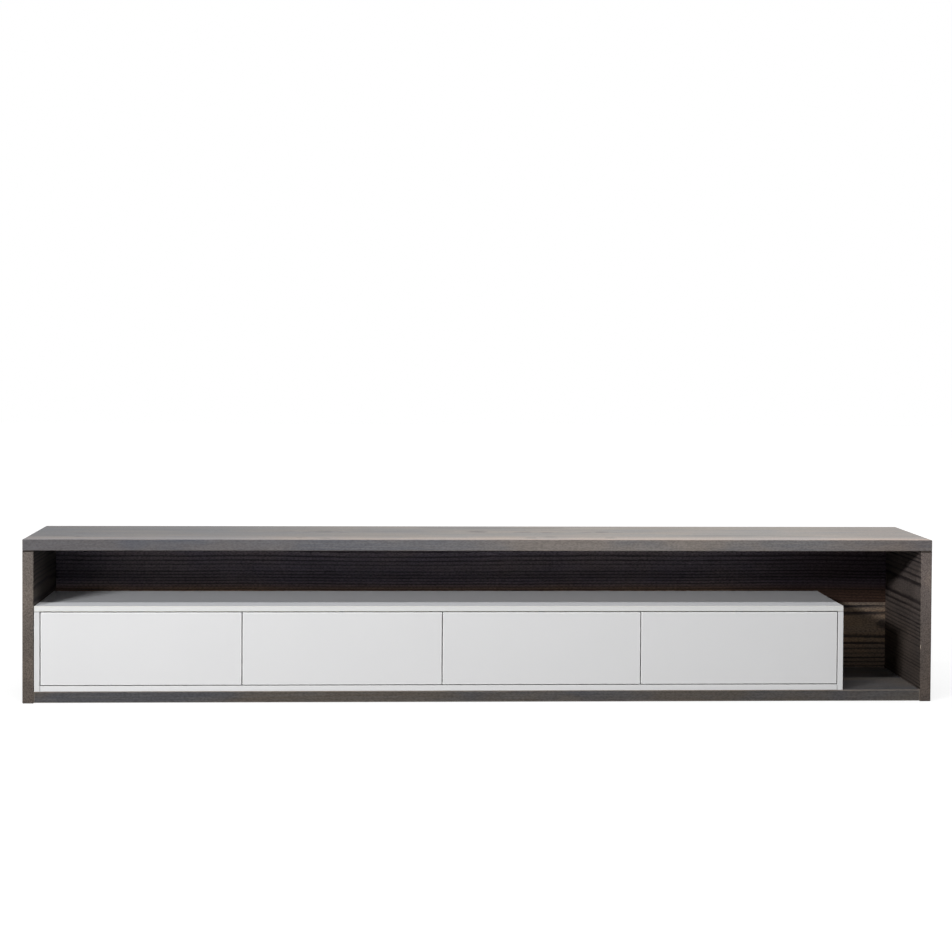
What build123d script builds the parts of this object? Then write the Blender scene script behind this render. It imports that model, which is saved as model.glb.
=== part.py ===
from build123d import *
import os

# Long low television stand: an open-fronted timber frame that holds a white case of four drawers.
# Millimetres, +Z up, front towards -Y, origin on the floor under the middle of the stand.

os.makedirs("parts", exist_ok=True)

# Timber frame
stand_length = 2700.0
stand_depth = 450.0
stand_height = 484.0
timber = 33.0
floor_gap = 2.0
arris = 1.5
shelf_height = 164.0
side_bay_length = 233.0
cable_gap = 61.0

# Back boards, let into a rebate round the rear of the frame, with room for their screw heads
back_thickness = 12.0
back_setback = 1.0
rebate = 10.0
back_end_clearance = 0.5
seam_chamfer = 1.0
cable_slot_length = 110.0
cable_slot_height = 45.0

# Loose tenons in the four corner joints of the frame
tenon_width = 40.0
tenon_thickness = 10.0
tenon_in_face = 18.0
tenon_in_end = 32.0
mortise_slack = 1.0
tenons_per_joint = 3

# Felt pads between the bottom slab and the floor
pad_side = 30.0
pad_inset = 60.0
pad_count = 5

# Lacquered case
case_board = 16.0
case_back_thickness = 3.0
case_side_gap = 1.0
case_setback = 1.0
case_easing = 0.8
tongue = 5.0
housing_depth = 4.0

# Screws that hold the case down on the bottom slab
case_screw_radius = 2.5
case_screw_head_radius = 5.0
case_screw_head_height = 3.5
case_screw_bite = 12.0
case_screws_per_row = 2
counterbore_radius = 8.0
counterbore_depth = 14.0

# Drawers
drawer_count = 4
front_thickness = 16.0
front_gap = 3.0
press_travel = 3.0
box_board = 12.0
box_rear_space = 16.0
box_head_space = 43.0
box_lift = 12.0
box_easing = 1.5
box_fingers = 11
box_bottom_thickness = 6.0
box_bottom_rise = 10.0
groove_depth = 5.0
divider_clearance = 1.0

# Ball-bearing runners
rail_rear_space = 2.0
rail_height = 45.0
rail_thickness = 12.7
rail_sheet = 1.2
rail_bend = 2.0
rail_lip = 2.4
ball_space = 2.4
cage_clearance = 0.3
cage_side_gap = 1.0
member_gap = 0.8

# Push catches
catch_length = 50.0
catch_width = 16.0
catch_height = 16.0
catch_flange_width = 36.0
catch_flange_thickness = 3.0
catch_easing = 1.5
plunger_drop = 9.0
plunger_radius = 3.0
plunger_tip_radius = 4.0
plunger_tip_length = 3.0
plunger_length = 34.0
running_clearance = 0.3

# Levels and faces of the frame
front_face = -stand_depth / 2
rear_face = stand_depth / 2
inner_right = stand_length / 2 - timber
inner_left = -inner_right
slab_top = floor_gap + timber
ceiling = stand_height - timber
back_rear = rear_face - back_setback
rebate_depth = back_setback + back_thickness
tenon_pitch = stand_depth / tenons_per_joint
tenon_length = tenon_in_face + tenon_in_end

# Faces of the case: it fills the frame up to the shelf bay, the side bay and the cable gap
case_left = inner_left + case_side_gap
case_right = inner_right - side_bay_length
case_middle = (case_left + case_right) / 2
case_length = case_right - case_left
case_front = front_face + case_setback
case_rear = rear_face - rebate_depth - cable_gap
case_depth = case_rear - case_front
case_base = slab_top
case_crown = ceiling - shelf_height
case_height = case_crown - case_base
case_inner_left = case_left + case_board
case_inner_length = case_length - 2 * case_board
case_floor = case_base + case_board
case_ceiling = case_crown - case_board
case_back_face = case_rear - case_back_thickness

# Drawer bays, one for each drawer, with a divider between neighbours
bay_width = (case_inner_length - (drawer_count - 1) * case_board) / drawer_count
bay_pitch = bay_width + case_board
front_width = (case_inner_length - (drawer_count + 1) * front_gap) / drawer_count
front_pitch = front_width + front_gap
front_back = case_front + front_thickness
front_low = case_floor + front_gap
front_high = case_ceiling - front_gap
divider_front = front_back + press_travel + divider_clearance

# Drawer boxes, with finger joints at their corners
box_width = bay_width - 2 * rail_thickness
box_base = case_floor + box_lift
box_height = case_ceiling - box_head_space - box_base
box_rear = case_back_face - box_rear_space
box_length = box_rear - front_back
finger = box_height / box_fingers
box_bottom_width = box_width - 2 * (box_board - groove_depth)
box_bottom_length = box_length - 2 * (box_board - groove_depth)

# Runner members, nested from the cabinet wall inwards
rail_middle = box_base + box_height / 2
rail_rear = case_back_face - rail_rear_space
rail_length = rail_rear - divider_front
cabinet_half = rail_height / 2
middle_half = cabinet_half - rail_sheet - ball_space
box_half = middle_half - rail_sheet - ball_space
middle_web = rail_sheet + member_gap
middle_tip = rail_thickness - rail_sheet - member_gap
cabinet_tip = middle_tip - member_gap
box_tip = middle_web + rail_sheet + member_gap
cage_length = rail_length / 2

# Push catch positions
plunger_level = case_ceiling - plunger_drop
plunger_face = front_back + press_travel + running_clearance
catch_front = plunger_face + plunger_tip_length + press_travel + running_clearance
plunger_rear = catch_front + plunger_length - press_travel


def write(piece, name):
    """Label a finished piece and write its STEP file."""
    piece.part.label = name
    export_step(piece.part, f"parts/{name}.step")


# Top slab: lies over both side panels
with BuildPart() as top_slab:
    with BuildSketch(Plane.XY.offset(ceiling)):
        Rectangle(stand_length, stand_depth)
    extrude(amount=timber)
    chamfer(top_slab.edges(), length=arris)
    with BuildSketch(Plane.XY.offset(ceiling)):
        with Locations((0, rear_face)):
            Rectangle(2 * (inner_right + rebate), rebate_depth, align=(Align.CENTER, Align.MAX))
    extrude(amount=rebate, mode=Mode.SUBTRACT)
    with BuildSketch(Plane.XY.offset(ceiling)):
        with GridLocations(stand_length - timber, tenon_pitch, 2, tenons_per_joint):
            Rectangle(tenon_thickness, tenon_width)
    extrude(amount=tenon_in_face + mortise_slack, mode=Mode.SUBTRACT)
write(top_slab, "top_slab")

# Side panels: stand on the floor, with a stopped rebate for the back boards
with BuildPart() as left_side_panel:
    with BuildSketch(Plane.XY):
        with Locations((-stand_length / 2, 0)):
            Rectangle(timber, stand_depth, align=(Align.MIN, Align.CENTER))
    extrude(amount=ceiling)
    upright_edges = left_side_panel.edges().filter_by(Axis.Z)
    foot_edges = left_side_panel.edges().group_by(Axis.Z)[0]
    chamfer(upright_edges + foot_edges, length=arris)
    with BuildSketch(Plane.XY.offset(slab_top - rebate)):
        with Locations((inner_left, rear_face)):
            Rectangle(rebate, rebate_depth, align=(Align.MAX, Align.MAX))
    extrude(until=Until.LAST, mode=Mode.SUBTRACT)
    with BuildSketch(Plane.XY.offset(ceiling)):
        with Locations((inner_left - timber / 2, 0)):
            with GridLocations(0, tenon_pitch, 1, tenons_per_joint):
                Rectangle(tenon_thickness, tenon_width)
    extrude(amount=-(tenon_in_end + mortise_slack), mode=Mode.SUBTRACT)
    with BuildSketch(Plane.YZ.offset(inner_left)):
        with Locations((0, slab_top - timber / 2)):
            with GridLocations(tenon_pitch, 0, tenons_per_joint, 1):
                Rectangle(tenon_width, tenon_thickness)
    extrude(amount=-(tenon_in_face + mortise_slack), mode=Mode.SUBTRACT)
write(left_side_panel, "left_side_panel")

with BuildPart() as right_side_panel:
    mirror(left_side_panel.part, about=Plane.YZ)
write(right_side_panel, "right_side_panel")

# Bottom slab: let in between the side panels, just off the floor, with holes for the case screws
case_screw_middle = (case_middle, (case_front + case_rear) / 2)
case_screw_pitch = (drawer_count - 1) * bay_pitch / (case_screws_per_row - 1)
case_screw_row_pitch = case_depth / 2
with BuildPart() as bottom_slab:
    with BuildSketch(Plane.XY.offset(floor_gap)):
        Rectangle(inner_right - inner_left, stand_depth)
    extrude(amount=timber)
    chamfer(bottom_slab.edges().filter_by(Axis.X), length=arris)
    with BuildSketch(Plane.XY.offset(slab_top)):
        with Locations((0, rear_face)):
            Rectangle(inner_right - inner_left, rebate_depth, align=(Align.CENTER, Align.MAX))
    extrude(amount=-rebate, mode=Mode.SUBTRACT)
    for end_face, inwards in ((inner_left, 1), (inner_right, -1)):
        with BuildSketch(Plane.YZ.offset(end_face)):
            with Locations((0, slab_top - timber / 2)):
                with GridLocations(tenon_pitch, 0, tenons_per_joint, 1):
                    Rectangle(tenon_width, tenon_thickness)
        extrude(amount=inwards * (tenon_in_end + mortise_slack), mode=Mode.SUBTRACT)
    with Locations(Plane(origin=(*case_screw_middle, floor_gap), z_dir=(0, 0, -1))):
        with GridLocations(case_screw_pitch, case_screw_row_pitch, case_screws_per_row, 2):
            CounterBoreHole(case_screw_radius, counterbore_radius, counterbore_depth)
write(bottom_slab, "bottom_slab")

# Loose tenons: upright ones in the top joints, lying ones in the bottom joints
with BuildPart() as frame_tenons:
    with BuildSketch(Plane.XY.offset(ceiling - tenon_in_end)):
        with GridLocations(stand_length - timber, tenon_pitch, 2, tenons_per_joint):
            Rectangle(tenon_thickness, tenon_width)
    extrude(amount=tenon_length)
    for start in (inner_left - tenon_in_face, inner_right - tenon_in_end):
        with BuildSketch(Plane.YZ.offset(start)):
            with Locations((0, slab_top - timber / 2)):
                with GridLocations(tenon_pitch, 0, tenons_per_joint, 1):
                    Rectangle(tenon_width, tenon_thickness)
        extrude(amount=tenon_length)
write(frame_tenons, "frame_tenons")

# Felt pads: squares under the bottom slab that keep its long span from sagging
with BuildPart() as felt_pads:
    with BuildSketch(Plane.XY):
        with GridLocations(stand_length / (pad_count + 1), stand_depth - pad_inset * 2, pad_count, 2):
            Rectangle(pad_side, pad_side)
    extrude(amount=floor_gap)
write(felt_pads, "felt_pads")

# Back boards: two horizontal boards that meet halfway up; the lower one has a slot for cables
back_length = inner_right - inner_left + 2 * (rebate - back_end_clearance)
back_height = (ceiling - slab_top) / 2 + rebate
back_seam = (ceiling + slab_top) / 2
for name, rises, slotted in (("upper_back_board", 1, False), ("lower_back_board", -1, True)):
    with BuildPart() as back_board:
        with BuildSketch(Plane.XZ.offset(-back_rear)):
            with Locations((0, back_seam + rises * back_height / 2)):
                Rectangle(back_length, back_height)
        extrude(amount=back_thickness)
        front_edges = back_board.edges().group_by(Axis.Y)[0].filter_by(Axis.X)
        chamfer(front_edges.sort_by(Axis.Z)[-1 if slotted else 0], length=seam_chamfer)
        if slotted:
            with BuildSketch(Plane.XZ.offset(-back_rear)):
                with Locations((0, case_base + case_height / 2)):
                    SlotOverall(cable_slot_length, cable_slot_height)
            extrude(amount=back_thickness, mode=Mode.SUBTRACT)
    write(back_board, name)

# Case sides: tongued into the top, grooved for the bottom, and grounded on the bottom slab
side_depth = case_depth - case_back_thickness
half_board = case_board / 2
with BuildPart() as case_left_side:
    with BuildSketch(Plane.XY.offset(case_base)):
        with Locations((case_left, case_front)):
            Rectangle(case_board, side_depth, align=(Align.MIN, Align.MIN))
    extrude(amount=case_ceiling - case_base)
    chamfer(case_left_side.edges().filter_by(Axis.Z).group_by(Axis.Y)[0], length=case_easing)
    with BuildSketch(Plane.XY.offset(case_ceiling)):
        with Locations((case_inner_left, case_front + front_thickness)):
            Rectangle(half_board, side_depth - front_thickness, align=(Align.MAX, Align.MIN))
    extrude(amount=tongue)
    with BuildSketch(Plane.XZ.offset(-case_back_face)):
        with Locations((case_inner_left, case_floor)):
            Rectangle(tongue, half_board, align=(Align.MAX, Align.MAX))
    extrude(amount=side_depth - front_thickness, mode=Mode.SUBTRACT)
write(case_left_side, "case_left_side")

with BuildPart() as case_right_side:
    mirror(case_left_side.part, about=Plane.YZ.offset(case_middle))
write(case_right_side, "case_right_side")

# Case bottom: between the sides, with a stopped tongue at each end and a housing for each divider
divider_middles = [case_inner_left + bay_pitch * (n + 1) - half_board for n in range(drawer_count - 1)]
divider_depth = case_back_face - divider_front
with BuildPart() as case_bottom:
    with BuildSketch(Plane.XY.offset(case_base)):
        with Locations((case_middle, case_front)):
            Rectangle(case_inner_length, side_depth, align=(Align.CENTER, Align.MIN))
    extrude(amount=case_board)
    chamfer(case_bottom.edges().filter_by(Axis.X).group_by(Axis.Y)[0], length=case_easing)
    with BuildSketch(Plane.XY.offset(case_floor)):
        with Locations((case_middle, front_back)):
            Rectangle(case_inner_length + 2 * tongue, side_depth - front_thickness,
                      align=(Align.CENTER, Align.MIN))
    extrude(amount=-half_board)
    with BuildSketch(Plane.XY.offset(case_floor)):
        with Locations([(middle, divider_front) for middle in divider_middles]):
            Rectangle(case_board, divider_depth, align=(Align.CENTER, Align.MIN))
    extrude(amount=-housing_depth, mode=Mode.SUBTRACT)
    with Locations(Plane(origin=(*case_screw_middle, case_base), z_dir=(0, 0, -1))):
        with GridLocations(case_screw_pitch, case_screw_row_pitch, case_screws_per_row, 2):
            Hole(case_screw_radius, depth=case_screw_bite + mortise_slack)
write(case_bottom, "case_bottom")

# Case top: over the sides and the back, with grooves for the side tongues and the dividers
with BuildPart() as case_top:
    with BuildSketch(Plane.XY.offset(case_ceiling)):
        with Locations((case_middle, case_front)):
            Rectangle(case_length, case_depth, align=(Align.CENTER, Align.MIN))
    extrude(amount=case_board)
    chamfer(case_top.edges(), length=case_easing)
    with BuildSketch(Plane.XY.offset(case_ceiling)):
        for groove_middle in (case_inner_left - half_board / 2, case_right - case_board + half_board / 2):
            with Locations((groove_middle, front_back)):
                Rectangle(half_board, side_depth - front_thickness, align=(Align.CENTER, Align.MIN))
    extrude(amount=tongue, mode=Mode.SUBTRACT)
    with BuildSketch(Plane.XY.offset(case_ceiling)):
        with Locations([(middle, divider_front) for middle in divider_middles]):
            Rectangle(case_board, divider_depth, align=(Align.CENTER, Align.MIN))
    extrude(amount=housing_depth, mode=Mode.SUBTRACT)
write(case_top, "case_top")

# Case dividers: behind the fronts, housed in the top and bottom
for number, middle in enumerate(divider_middles, 1):
    with BuildPart() as case_divider:
        with BuildSketch(Plane.XY.offset(case_floor - housing_depth)):
            with Locations((middle, divider_front)):
                Rectangle(case_board, divider_depth, align=(Align.CENTER, Align.MIN))
        extrude(amount=case_ceiling - case_floor + 2 * housing_depth)
    write(case_divider, f"case_divider_{number}")

# Case back: a thin sheet on the rear of the sides and bottom, under the overhanging top
with BuildPart() as case_back:
    with BuildSketch(Plane.XZ.offset(-case_rear)):
        with Locations((case_middle, case_base)):
            Rectangle(case_length, case_ceiling - case_base, align=(Align.CENTER, Align.MIN))
    extrude(amount=case_back_thickness)
write(case_back, "case_back")

# Case screws: up through the bottom slab into the case bottom
with BuildPart() as case_screws:
    head_level = floor_gap + counterbore_depth
    with BuildSketch(Plane.XY.offset(head_level)):
        with Locations(case_screw_middle):
            with GridLocations(case_screw_pitch, case_screw_row_pitch, case_screws_per_row, 2):
                Circle(case_screw_head_radius)
    extrude(amount=-case_screw_head_height)
    with BuildSketch(Plane.XY.offset(head_level)):
        with Locations(case_screw_middle):
            with GridLocations(case_screw_pitch, case_screw_row_pitch, case_screws_per_row, 2):
                Circle(case_screw_radius)
    extrude(amount=slab_top + case_screw_bite - head_level)
write(case_screws, "case_screws")


def channel_section(web, tip, half, lip, inner_side):
    """C-shaped sheet section with its web at one x and its flanges reaching the other."""
    lip_points = [(tip, half - lip)] if lip else []
    lip_bends = [0.0] if lip else []
    upper = [(web, half), (tip, half)] + lip_points
    lower = [(x, -z) for x, z in reversed(upper)]
    with BuildSketch() as section:
        with BuildLine():
            FilletPolyline(*lower, *upper, radius=[*lip_bends, rail_bend, rail_bend, *lip_bends])
            offset(amount=rail_sheet, side=inner_side)
        make_face()
    return section.sketch


def cage_sections(near, far, half):
    """Sections of the upper and lower ball cages under flanges with their outer faces at half."""
    cage_thickness = ball_space - 2 * cage_clearance
    height = half - rail_sheet - ball_space / 2
    with BuildSketch() as sections:
        with Locations(((near + far) / 2, height), ((near + far) / 2, -height)):
            Rectangle(far - near, cage_thickness)
    return sections.sketch


def section_plane(x, y, z):
    """Plane of a section that is extruded forwards from this point."""
    return Plane(origin=(x, y, z), x_dir=(1, 0, 0), z_dir=(0, -1, 0))


# Drawers, numbered from the left
for n in range(drawer_count):
    drawer = f"drawer_{n + 1}"
    bay_left = case_inner_left + n * bay_pitch
    bay_middle = bay_left + bay_width / 2
    bay_plane = Plane.YZ.offset(bay_middle)
    front_left = case_inner_left + front_gap + n * front_pitch
    box_left = bay_left + rail_thickness

    # Inset front, lacquered all round
    with BuildPart() as front:
        with BuildSketch(Plane.XZ.offset(-front_back)):
            with Locations((front_left, front_low)):
                Rectangle(front_width, front_high - front_low, align=(Align.MIN, Align.MIN))
        extrude(amount=front_thickness)
        chamfer(front.edges(), length=case_easing)
    write(front, f"{drawer}_front")

    # Box sides: eased on top, with fingers at both ends and a stopped groove for the bottom
    box_centre = (bay_middle, (front_back + box_rear) / 2)
    with BuildPart() as left_box_side:
        with BuildSketch(Plane.XY.offset(box_base)):
            with Locations((box_left, front_back)):
                Rectangle(box_board, box_length, align=(Align.MIN, Align.MIN))
        extrude(amount=box_height)
        chamfer(left_box_side.edges().filter_by(Axis.Y).group_by(Axis.Z)[-1], length=box_easing)
        with BuildSketch(Plane.YZ.offset(box_left)):
            with Locations((box_centre[1], rail_middle)):
                with GridLocations(box_length - box_board, 2 * finger, 2, box_fingers // 2):
                    Rectangle(box_board, finger)
        extrude(amount=box_board, mode=Mode.SUBTRACT)
        with BuildSketch(Plane.XY.offset(box_base + box_bottom_rise)):
            with Locations(box_centre):
                Rectangle(box_bottom_width, box_bottom_length)
        extrude(amount=box_bottom_thickness, mode=Mode.SUBTRACT)
    write(left_box_side, f"{drawer}_box_left_side")

    with BuildPart() as right_box_side:
        mirror(left_box_side.part, about=bay_plane)
    write(right_box_side, f"{drawer}_box_right_side")

    # Inner front of the box and its back: their fingers fill the gaps between those of the sides
    with BuildPart() as box_front:
        with BuildSketch(Plane.XY.offset(box_base)):
            with Locations((bay_middle, front_back)):
                Rectangle(box_width, box_board, align=(Align.CENTER, Align.MIN))
        extrude(amount=box_height)
        chamfer(box_front.edges().filter_by(Axis.X).group_by(Axis.Z)[-1], length=box_easing)
        with BuildSketch(Plane.XZ.offset(-front_back)):
            with Locations((bay_middle, rail_middle)):
                with GridLocations(box_width - box_board, 2 * finger, 2, box_fingers // 2 + 1):
                    Rectangle(box_board, finger)
        extrude(amount=-box_board, mode=Mode.SUBTRACT)
        with BuildSketch(Plane.XY.offset(box_base + box_bottom_rise)):
            with Locations(box_centre):
                Rectangle(box_bottom_width, box_bottom_length)
        extrude(amount=box_bottom_thickness, mode=Mode.SUBTRACT)
    write(box_front, f"{drawer}_box_front")

    with BuildPart() as box_back:
        mirror(box_front.part, about=Plane.XZ.offset(-box_centre[1]))
    write(box_back, f"{drawer}_box_back")

    # Box bottom, held in the grooves
    with BuildPart() as box_bottom:
        with BuildSketch(Plane.XY.offset(box_base + box_bottom_rise)):
            with Locations(box_centre):
                Rectangle(box_bottom_width, box_bottom_length)
        extrude(amount=box_bottom_thickness)
    write(box_bottom, f"{drawer}_box_bottom")

    # Cabinet rails: screwed to the walls of the bay, behind the pressed-in front
    with BuildPart() as cabinet_rails:
        with BuildSketch(section_plane(bay_left, rail_rear, rail_middle)):
            add(channel_section(0, cabinet_tip, cabinet_half, rail_lip, Side.RIGHT))
        extrude(amount=rail_length)
        mirror(about=bay_plane)
    write(cabinet_rails, f"{drawer}_cabinet_rails")

    # Middle rails and their ball cages: they follow the drawer over half of its travel
    middle_rear = rail_rear - press_travel / 2
    outer_cage_tip = cabinet_tip - rail_sheet - cage_side_gap
    inner_cage_tip = middle_tip - rail_sheet - cage_side_gap
    with BuildPart() as middle_rails:
        with BuildSketch(section_plane(bay_left, middle_rear, rail_middle)):
            add(channel_section(middle_web, middle_tip, middle_half, rail_lip, Side.RIGHT))
        extrude(amount=rail_length)
        with BuildSketch(section_plane(bay_left, middle_rear, rail_middle)):
            add(cage_sections(rail_sheet + cage_side_gap, outer_cage_tip, cabinet_half))
        extrude(amount=cage_length)
        with BuildSketch(section_plane(bay_left, middle_rear - cage_length, rail_middle)):
            add(cage_sections(middle_web + rail_sheet + cage_side_gap, inner_cage_tip, middle_half))
        extrude(amount=cage_length)
        mirror(about=bay_plane)
    write(middle_rails, f"{drawer}_middle_rails")

    # Box rails: screwed to the sides of the box, reaching up to the front
    with BuildPart() as box_rails:
        with BuildSketch(section_plane(bay_left, rail_rear - press_travel, rail_middle)):
            add(channel_section(rail_thickness, box_tip, box_half, 0, Side.LEFT))
        extrude(amount=rail_length)
        mirror(about=bay_plane)
    write(box_rails, f"{drawer}_box_rails")

    # Push-catch plunger: a pin with a broad soft tip behind the top of the front
    with BuildPart() as plunger:
        with BuildSketch(Plane.XZ.offset(-plunger_rear)):
            with Locations((bay_middle, plunger_level)):
                Circle(plunger_radius)
        extrude(amount=plunger_rear - plunger_face)
        with BuildSketch(Plane.XZ.offset(-(plunger_face + plunger_tip_length))):
            with Locations((bay_middle, plunger_level)):
                Circle(plunger_tip_radius)
        extrude(amount=plunger_tip_length)
    write(plunger, f"{drawer}_catch_plunger")

# Push-catch housings: under the case top, one behind each front, bored for the plunger
catch_rear = catch_front + catch_length
with BuildPart() as push_catch_housings:
    for n in range(drawer_count):
        bay_middle = case_inner_left + n * bay_pitch + bay_width / 2
        with BuildSketch(section_plane(bay_middle, catch_rear, case_ceiling)):
            Rectangle(catch_width, catch_height, align=(Align.CENTER, Align.MAX))
            low_corners = vertices().group_by(Axis.Y)[0]
            chamfer(low_corners, length=catch_easing)
            Rectangle(catch_flange_width, catch_flange_thickness, align=(Align.CENTER, Align.MAX))
        extrude(amount=catch_length)
        with BuildSketch(Plane.XZ.offset(-catch_front)):
            with Locations((bay_middle, plunger_level)):
                Circle(plunger_radius + running_clearance)
        extrude(amount=-(plunger_length + running_clearance), mode=Mode.SUBTRACT)
write(push_catch_housings, "push_catch_housings")
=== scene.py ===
import math

import bpy
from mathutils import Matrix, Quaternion, Vector


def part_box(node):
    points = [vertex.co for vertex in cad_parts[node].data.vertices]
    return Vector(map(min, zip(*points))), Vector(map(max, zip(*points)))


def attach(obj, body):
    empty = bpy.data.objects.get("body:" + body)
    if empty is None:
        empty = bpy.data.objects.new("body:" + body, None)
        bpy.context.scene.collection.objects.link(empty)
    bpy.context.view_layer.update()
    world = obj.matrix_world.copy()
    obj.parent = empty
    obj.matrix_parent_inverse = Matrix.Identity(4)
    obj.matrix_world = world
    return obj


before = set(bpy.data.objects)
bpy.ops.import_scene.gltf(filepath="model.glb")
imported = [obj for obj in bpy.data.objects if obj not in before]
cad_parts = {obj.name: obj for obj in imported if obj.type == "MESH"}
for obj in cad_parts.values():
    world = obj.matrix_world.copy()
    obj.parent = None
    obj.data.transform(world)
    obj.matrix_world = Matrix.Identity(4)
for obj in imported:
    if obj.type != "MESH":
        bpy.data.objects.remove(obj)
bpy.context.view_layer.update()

bpy.ops.object.select_all(action="DESELECT")

# Timber frame
# Two long slabs and two side panels of glued-up softwood, stained grey with the brown showing through, under a
# satin varnish. The grain runs along the slabs and from front to back in the sides; loose tenons hold the corners.
x_axis, y_axis, z_axis = 0, 1, 2


def put(tree, kind, inputs=(), **options):
    """Add a shader node, set its options and feed its inputs with values or with other nodes' outputs."""
    node = tree.nodes.new(kind)
    for option, value in options.items():
        setattr(node, option, value)
    for socket, value in dict(inputs).items():
        if isinstance(value, bpy.types.NodeSocket):
            tree.links.new(value, node.inputs[socket])
        else:
            node.inputs[socket].default_value = value
    return node.outputs


def number(tree, operation, *values):
    """Result of a Math node."""
    return put(tree, "ShaderNodeMath", enumerate(values), operation=operation)[0]


def ramp(tree, value, low, high, to_low=0.0, to_high=1.0):
    """Smooth change from one value to another while the input goes from low to high."""
    inputs = {"Value": value, "From Min": low, "From Max": high, "To Min": to_low, "To Max": to_high}
    return put(tree, "ShaderNodeMapRange", inputs, interpolation_type="SMOOTHSTEP")[0]


def blend(tree, amount, first, second, kind="MIX"):
    """Colour between two colours, each given as red, green and blue or as another node's output."""
    first, second = [(*c, 1.0) if isinstance(c, tuple) else c for c in (first, second)]
    return put(tree, "ShaderNodeMix", {0: amount, 6: first, 7: second}, data_type="RGBA", blend_type=kind)[2]


def vector_math(tree, operation, *values):
    """Outputs of a Vector Math node."""
    return put(tree, "ShaderNodeVectorMath", enumerate(values), operation=operation)


def stretch(tree, vector, factors):
    """Vector with each of its parts multiplied by its own factor."""
    return vector_math(tree, "MULTIPLY", vector, factors)[0]


def split(tree, vector):
    """The three parts of a vector."""
    return put(tree, "ShaderNodeSeparateXYZ", {0: vector})


def noise(tree, vector, scale, detail=2.0, seed=0.0):
    """Smooth noise from 0 to 1."""
    inputs = {"Vector": vector, "W": seed, "Scale": scale, "Detail": detail}
    return put(tree, "ShaderNodeTexNoise", inputs, noise_dimensions="4D")["Fac"]


def chance(tree, seed):
    """Outputs of a White Noise node: one random value or colour for each seed."""
    return put(tree, "ShaderNodeTexWhiteNoise", {"W": seed}, noise_dimensions="1D")


def bump(tree, shader, height, strength, distance):
    """Fine relief on a shader."""
    inputs = {"Strength": strength, "Distance": distance, "Height": height}
    tree.links.new(put(tree, "ShaderNodeBump", inputs)[0], shader["Normal"])


def new_group(name, inputs, outputs):
    """Empty shader node group with its named sockets: the group, what it is given and what it puts out."""
    group = bpy.data.node_groups.new(name, "ShaderNodeTree")
    for direction, sockets in (("INPUT", inputs), ("OUTPUT", outputs)):
        for socket, kind in sockets.items():
            group.interface.new_socket(socket, in_out=direction, socket_type="NodeSocket" + kind)
    return group, group.nodes.new("NodeGroupInput").outputs, group.nodes.new("NodeGroupOutput").inputs


def new_finish(name, **values):
    """Material with one Principled shader and its plain values: the material, its tree and the shader's inputs."""
    material = bpy.data.materials.new(name)
    material.use_nodes = True
    shader = material.node_tree.nodes["Principled BSDF"].inputs
    for socket, value in values.items():
        shader[socket.replace("_", " ")].default_value = value
    return material, material.node_tree, shader


def coat(node, material):
    """Give a carried-over piece its finish."""
    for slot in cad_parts[node].material_slots:
        slot.material = material


# Year rings seen as lines, fibres, stain patches and the tone of each stave, for wood with its grain along X. Each
# stretch says how drawn out an effect is along, across and through the board, each scale how fine it is.
stave_seed_step, most_depth_spread = 7.3, 0.06
slow_stretch, wander_scale, ripple_scale, ripple_share = (0.45, 0.7, 0.7), 3.0, 16.0, 0.22
ragged_stretch, ragged_scale, ragged_height = (0.5, 1.0, 1.0), 160.0, 0.002
late_wood_start, late_wood_full, late_wood_end = 0.4, 0.74, 0.9
lasting_stretch, lasting_scale = (0.5, 3.0, 3.0), 9.0
fibre_stretch, fibre_scale = (0.02, 1.0, 1.0), 420.0
patch_stretch, patch_scale = (0.5, 1.6, 1.6), 7.0
speckle_stretch, speckle_scale = (0.4, 1.0, 1.0), 330.0
grain_field, given, result = new_group(
    "wood_grain",
    {"Place": "Vector", "Stave": "Float", "Ring": "Float", "Pith": "Float", "Depth": "Float", "Scatter": "Float",
     "Seed": "Float", "Wave": "Float", "Bend": "Float"},
    {"Lines": "Float", "Fibre": "Float", "Patch": "Float", "Tone": "Float", "Speckle": "Float"})
place_x, place_y, place_z = split(grain_field, given["Place"])
stave_place = number(grain_field, "DIVIDE", place_y, given["Stave"])
stave_number = number(grain_field, "FLOOR", stave_place)
stave_seed = number(grain_field, "MULTIPLY_ADD", given["Seed"], stave_seed_step, stave_number)
chance_a, chance_b, chance_c = split(grain_field, chance(grain_field, stave_seed)["Color"])
across = number(grain_field, "MULTIPLY", number(grain_field, "FRACT", stave_place), given["Stave"])
pith_share = number(grain_field, "MULTIPLY_ADD", number(grain_field, "SUBTRACT", chance_a, 0.5), given["Scatter"],
                    given["Pith"])
pith_across = number(grain_field, "MULTIPLY", pith_share, given["Stave"])
depth_spread = number(grain_field, "MULTIPLY", number(grain_field, "MULTIPLY", chance_b, most_depth_spread),
                      given["Scatter"])
pith_depth = number(grain_field, "ADD", given["Depth"], depth_spread)
from_pith_y = number(grain_field, "SUBTRACT", across, pith_across)
from_pith_z = number(grain_field, "ADD", place_z, pith_depth)
slow = stretch(grain_field, given["Place"], slow_stretch)
wander = number(grain_field, "MULTIPLY", noise(grain_field, slow, wander_scale, 1.0, stave_seed), given["Wave"])
ripple_height = number(grain_field, "MULTIPLY", given["Wave"], ripple_share)
ripple = number(grain_field, "MULTIPLY", noise(grain_field, slow, ripple_scale, 2.0, stave_seed), ripple_height)
ragged_place = stretch(grain_field, given["Place"], ragged_stretch)
ragged_edge = number(grain_field, "MULTIPLY", noise(grain_field, ragged_place, ragged_scale, 2.0, stave_seed),
                     ragged_height)
radius = number(grain_field, "SQRT", number(grain_field, "ADD", number(grain_field, "POWER", from_pith_y, 2.0),
                                            number(grain_field, "POWER", from_pith_z, 2.0)))
for push in (wander, ripple, ragged_edge, given["Bend"]):
    radius = number(grain_field, "ADD", radius, push)
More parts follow.
